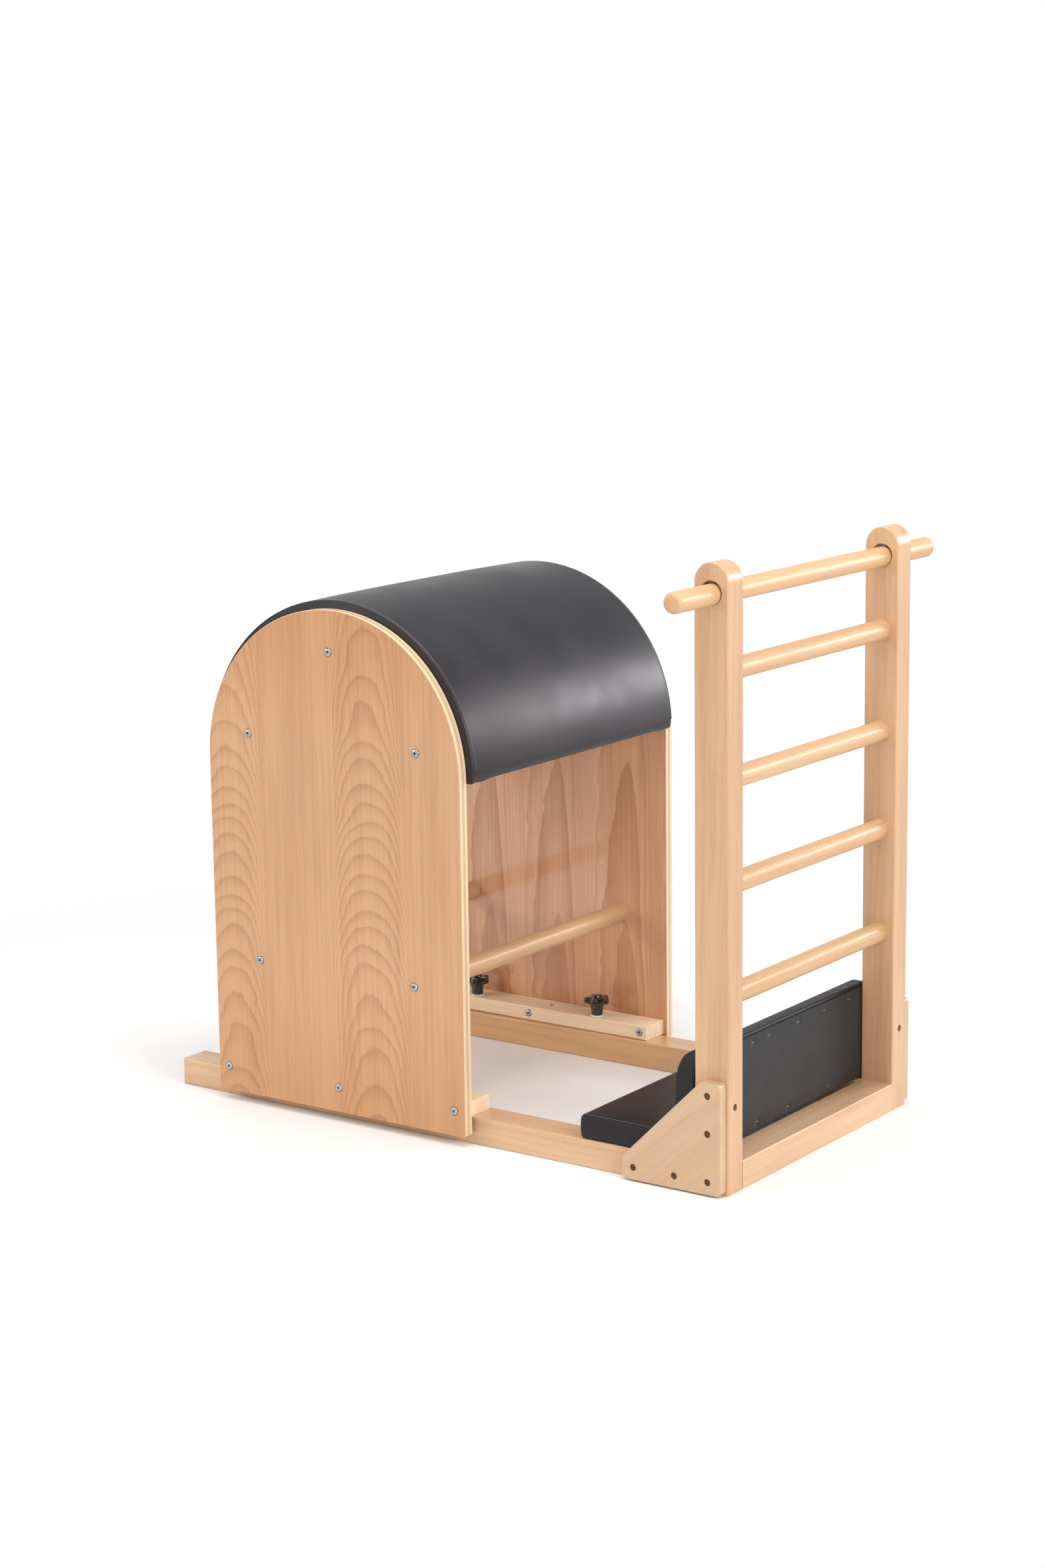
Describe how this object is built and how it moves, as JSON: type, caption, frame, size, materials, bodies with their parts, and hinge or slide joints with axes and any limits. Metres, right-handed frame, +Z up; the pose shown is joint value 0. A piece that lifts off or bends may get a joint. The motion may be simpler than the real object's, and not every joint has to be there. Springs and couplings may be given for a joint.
{
  "type": "ladder barrel",
  "caption": "Wooden exercise ladder with a padded half-round barrel that slides on two base rails and locks with star knobs.",
  "frame": {"origin": "on the floor, in the middle of the bounding box", "axes": "+X along the base rails from the barrel towards the ladder, +Y across the rails along the rungs, +Z up"},
  "size_m": [1.244, 0.888, 1.0999],
  "materials": {
    "beech": "satin",
    "beech_veneer_ply": "satin",
    "raw_pine": "matte",
    "birch_ply": "matte",
    "black_leather": "satin",
    "black_cloth": "matte",
    "foam": "matte",
    "bright_bolt": "polished",
    "zinc_steel": "satin",
    "dark_screw": "satin",
    "knob_plastic": "gloss",
    "washer_plastic": "satin"
  },
  "bodies": {
    "base": {"back_pad_board": "birch_ply", "back_pad_cloth": "black_cloth", "back_pad_cover": "black_leather", "back_pad_foam": "foam", "back_pad_screws": "dark_screw", "cross_rail": "beech", "foot_pad_board": "birch_ply", "foot_pad_cover": "black_leather", "foot_pad_foam": "foam", "gusset_left": "beech", "gusset_right": "beech", "gusset_screws_left": "dark_screw", "gusset_screws_right": "dark_screw", "post_left": "beech", "post_right": "beech", "rail_left": "beech", "rail_right": "beech", "rung_1": "beech", "rung_2": "beech", "rung_3": "beech", "rung_4": "beech", "rung_collars": "beech"},
    "top_bar": {"top_bar": "beech"},
    "barrel": {"arch_cover": "black_leather", "arch_foam": "foam", "arch_shell": "birch_ply", "batten_front": "raw_pine", "batten_rear": "raw_pine", "batten_top": "raw_pine", "block_bolts_left": "bright_bolt", "block_bolts_right": "bright_bolt", "block_left": "raw_pine", "block_right": "raw_pine", "cross_bolts_left": "bright_bolt", "cross_bolts_right": "bright_bolt", "cross_dowel_front": "raw_pine", "cross_dowel_rear": "raw_pine", "panel_left": "beech_veneer_ply", "panel_right": "beech_veneer_ply", "sleeve_nuts_left": "bright_bolt", "sleeve_nuts_right": "bright_bolt", "slot_nut_left_front": "zinc_steel", "slot_nut_left_rear": "zinc_steel", "slot_nut_right_front": "zinc_steel", "slot_nut_right_rear": "zinc_steel"},
    "clamp_washer_left_front": {"washer_left_front": "washer_plastic"},
    "clamp_knob_left_front": {"knob_left_front": "knob_plastic", "stud_left_front": "zinc_steel"},
    "clamp_washer_left_rear": {"washer_left_rear": "washer_plastic"},
    "clamp_knob_left_rear": {"knob_left_rear": "knob_plastic", "stud_left_rear": "zinc_steel"},
    "clamp_washer_right_front": {"washer_right_front": "washer_plastic"},
    "clamp_knob_right_front": {"knob_right_front": "knob_plastic", "stud_right_front": "zinc_steel"},
    "clamp_washer_right_rear": {"washer_right_rear": "washer_plastic"},
    "clamp_knob_right_rear": {"knob_right_rear": "knob_plastic", "stud_right_rear": "zinc_steel"}
  },
  "joints": [
    {"name": "barrel_slide", "type": "slide", "parent": "base", "child": "barrel", "axis": [1, 0, 0], "range_m": [-0.07, 0.07]},
    {"name": "top_bar_roll", "type": "hinge", "parent": "base", "child": "top_bar", "pos_m": [0.5885, 0, 1.0454], "axis": [0, 1, 0], "continuous": true},
    {"name": "washer_lift_left_front", "type": "slide", "parent": "barrel", "child": "clamp_washer_left_front", "axis": [0, 0, 1], "range_m": [0, 0.0026]},
    {"name": "knob_turn_left_front", "type": "hinge", "parent": "clamp_washer_left_front", "child": "clamp_knob_left_front", "pos_m": [-0.054, 0.282, 0.1], "axis": [0, 0, 1], "range_deg": [0, 720]},
    {"name": "washer_lift_left_rear", "type": "slide", "parent": "barrel", "child": "clamp_washer_left_rear", "axis": [0, 0, 1], "range_m": [0, 0.0026]},
    {"name": "knob_turn_left_rear", "type": "hinge", "parent": "clamp_washer_left_rear", "child": "clamp_knob_left_rear", "pos_m": [-0.35, 0.282, 0.1], "axis": [0, 0, 1], "range_deg": [0, 720]},
    {"name": "washer_lift_right_front", "type": "slide", "parent": "barrel", "child": "clamp_washer_right_front", "axis": [0, 0, 1], "range_m": [0, 0.0026]},
    {"name": "knob_turn_right_front", "type": "hinge", "parent": "clamp_washer_right_front", "child": "clamp_knob_right_front", "pos_m": [-0.054, -0.282, 0.1], "axis": [0, 0, 1], "range_deg": [0, 720]},
    {"name": "washer_lift_right_rear", "type": "slide", "parent": "barrel", "child": "clamp_washer_right_rear", "axis": [0, 0, 1], "range_m": [0, 0.0026]},
    {"name": "knob_turn_right_rear", "type": "hinge", "parent": "clamp_washer_right_rear", "child": "clamp_knob_right_rear", "pos_m": [-0.35, -0.282, 0.1], "axis": [0, 0, 1], "range_deg": [0, 720]}
  ],
  "couplings": [
    {"joint": "washer_lift_left_front", "follows": "knob_turn_left_front", "m_per_rad": 0.00019894},
    {"joint": "washer_lift_left_rear", "follows": "knob_turn_left_rear", "m_per_rad": 0.00019894},
    {"joint": "washer_lift_right_front", "follows": "knob_turn_right_front", "m_per_rad": 0.00019894},
    {"joint": "washer_lift_right_rear", "follows": "knob_turn_right_rear", "m_per_rad": 0.00019894}
  ]
}
